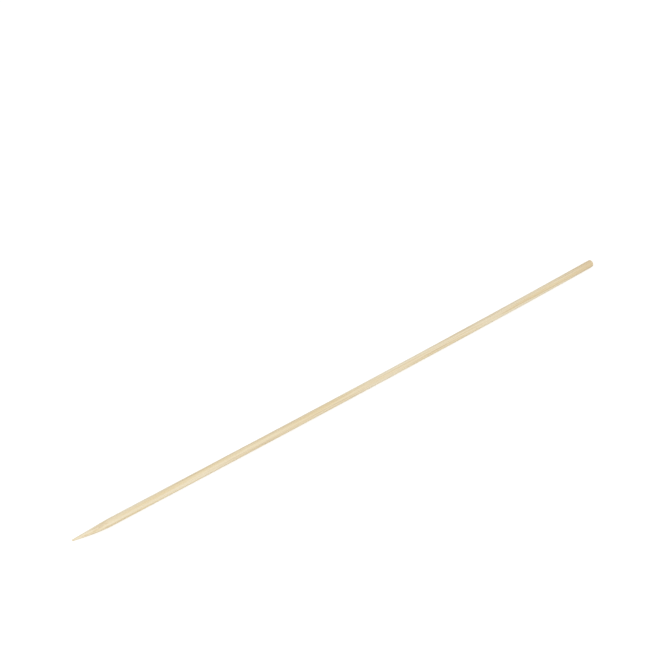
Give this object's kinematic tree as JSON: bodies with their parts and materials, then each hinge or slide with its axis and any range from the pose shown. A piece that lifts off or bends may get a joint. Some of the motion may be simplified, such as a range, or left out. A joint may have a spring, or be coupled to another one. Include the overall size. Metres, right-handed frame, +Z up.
{
  "type": "bamboo skewer",
  "caption": "Thin round bamboo stick with a long ground point at one end and a square-cut, softened butt at the other, for threading and holding food.",
  "frame": {"origin": "centre of the flat cut face at the butt, the end that a hand or holder takes", "axes": "+X along the stick from the butt to the point, +Z up, +Y the side towards which the stick bows as it lies"},
  "size_m": [0.25, 0.0038, 0.003],
  "materials": {
    "bamboo": "dry sanded bamboo, matte, with fine lengthwise fibres"
  },
  "bodies": {
    "root": {"skewer": "bamboo"}
  },
  "joints": []
}
